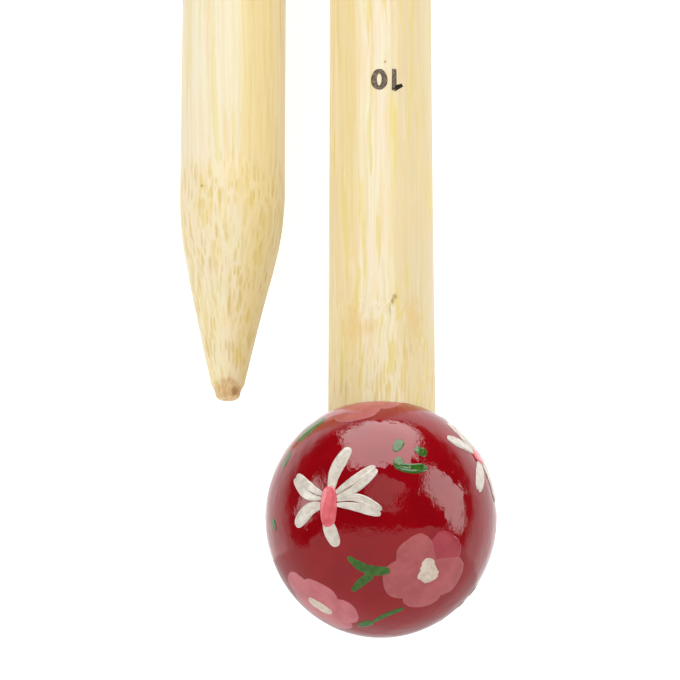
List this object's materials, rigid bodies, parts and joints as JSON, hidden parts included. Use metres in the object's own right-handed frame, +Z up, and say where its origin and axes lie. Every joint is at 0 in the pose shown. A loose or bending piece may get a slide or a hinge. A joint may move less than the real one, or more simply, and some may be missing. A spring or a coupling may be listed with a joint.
{
  "type": "straight knitting needles",
  "caption": "Pair of thick straight bamboo knitting needles with blunt tapered points and round red lacquered wooden knobs, lying side by side head to tail.",
  "frame": {"origin": "on the table plane under the middle of the pair: the centre of the bottom face of the pair's box", "axes": "+Z up from the table, +Y along the needles towards the left needle's knob and the right needle's point, +X from the left needle to the right needle"},
  "size_m": [0.0356, 0.3748, 0.0215],
  "materials": {
    "bamboo": "polished and lightly waxed bamboo",
    "knob_lacquer": "deep red gloss lacquer over turned wood",
    "wood_glue": "cured amber wood glue",
    "petal_white": "thick hand-brushed off-white paint under varnish",
    "blossom_pink": "hand-dabbed pink paint under varnish",
    "leaf_green": "hand-brushed green paint under varnish",
    "size_ink": "dark printed ink"
  },
  "bodies": {
    "right_needle": {"right_shaft": "bamboo", "right_knob": "knob_lacquer", "right_glue": "wood_glue"},
    "left_needle": {"left_shaft": "bamboo", "left_knob": "knob_lacquer", "left_glue": "wood_glue"}
  },
  "joints": [
    {"name": "left_needle_slide", "type": "slide", "parent": "right_needle", "child": "left_needle", "axis": [0, 1, 0], "range_m": [0, 0.34]}
  ]
}
